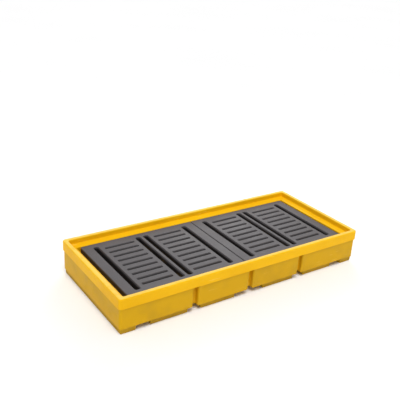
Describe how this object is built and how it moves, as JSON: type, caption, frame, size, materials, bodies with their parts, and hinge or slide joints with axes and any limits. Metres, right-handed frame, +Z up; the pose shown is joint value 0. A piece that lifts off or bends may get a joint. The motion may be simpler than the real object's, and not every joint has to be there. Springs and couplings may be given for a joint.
{
  "type": "spill containment pallet",
  "caption": "Long, low moulded sump on runner feet with lift-out slotted grates as its deck; drums stand on the grates and leaks drain into the basin below.",
  "frame": {"origin": "on the ground under the middle of the sump", "axes": "+X along the length, +Y to the back, +Z up"},
  "size_m": [1.8, 0.79, 0.233],
  "materials": {
    "sump_plastic": "satin, fine orange-peel texture of rotationally moulded polyethylene",
    "grate_plastic": "matt moulded polyethylene with a light grain"
  },
  "bodies": {
    "sump": {"sump": "sump_plastic"},
    "grate_left": {"grate_left": "grate_plastic"},
    "grate_right": {"grate_right": "grate_plastic"}
  },
  "joints": [
    {"name": "grate_left_lift", "type": "slide", "parent": "sump", "child": "grate_left", "axis": [0, 0, 1], "range_m": [0, 0.3]},
    {"name": "grate_right_lift", "type": "slide", "parent": "sump", "child": "grate_right", "axis": [0, 0, 1], "range_m": [0, 0.3]}
  ]
}
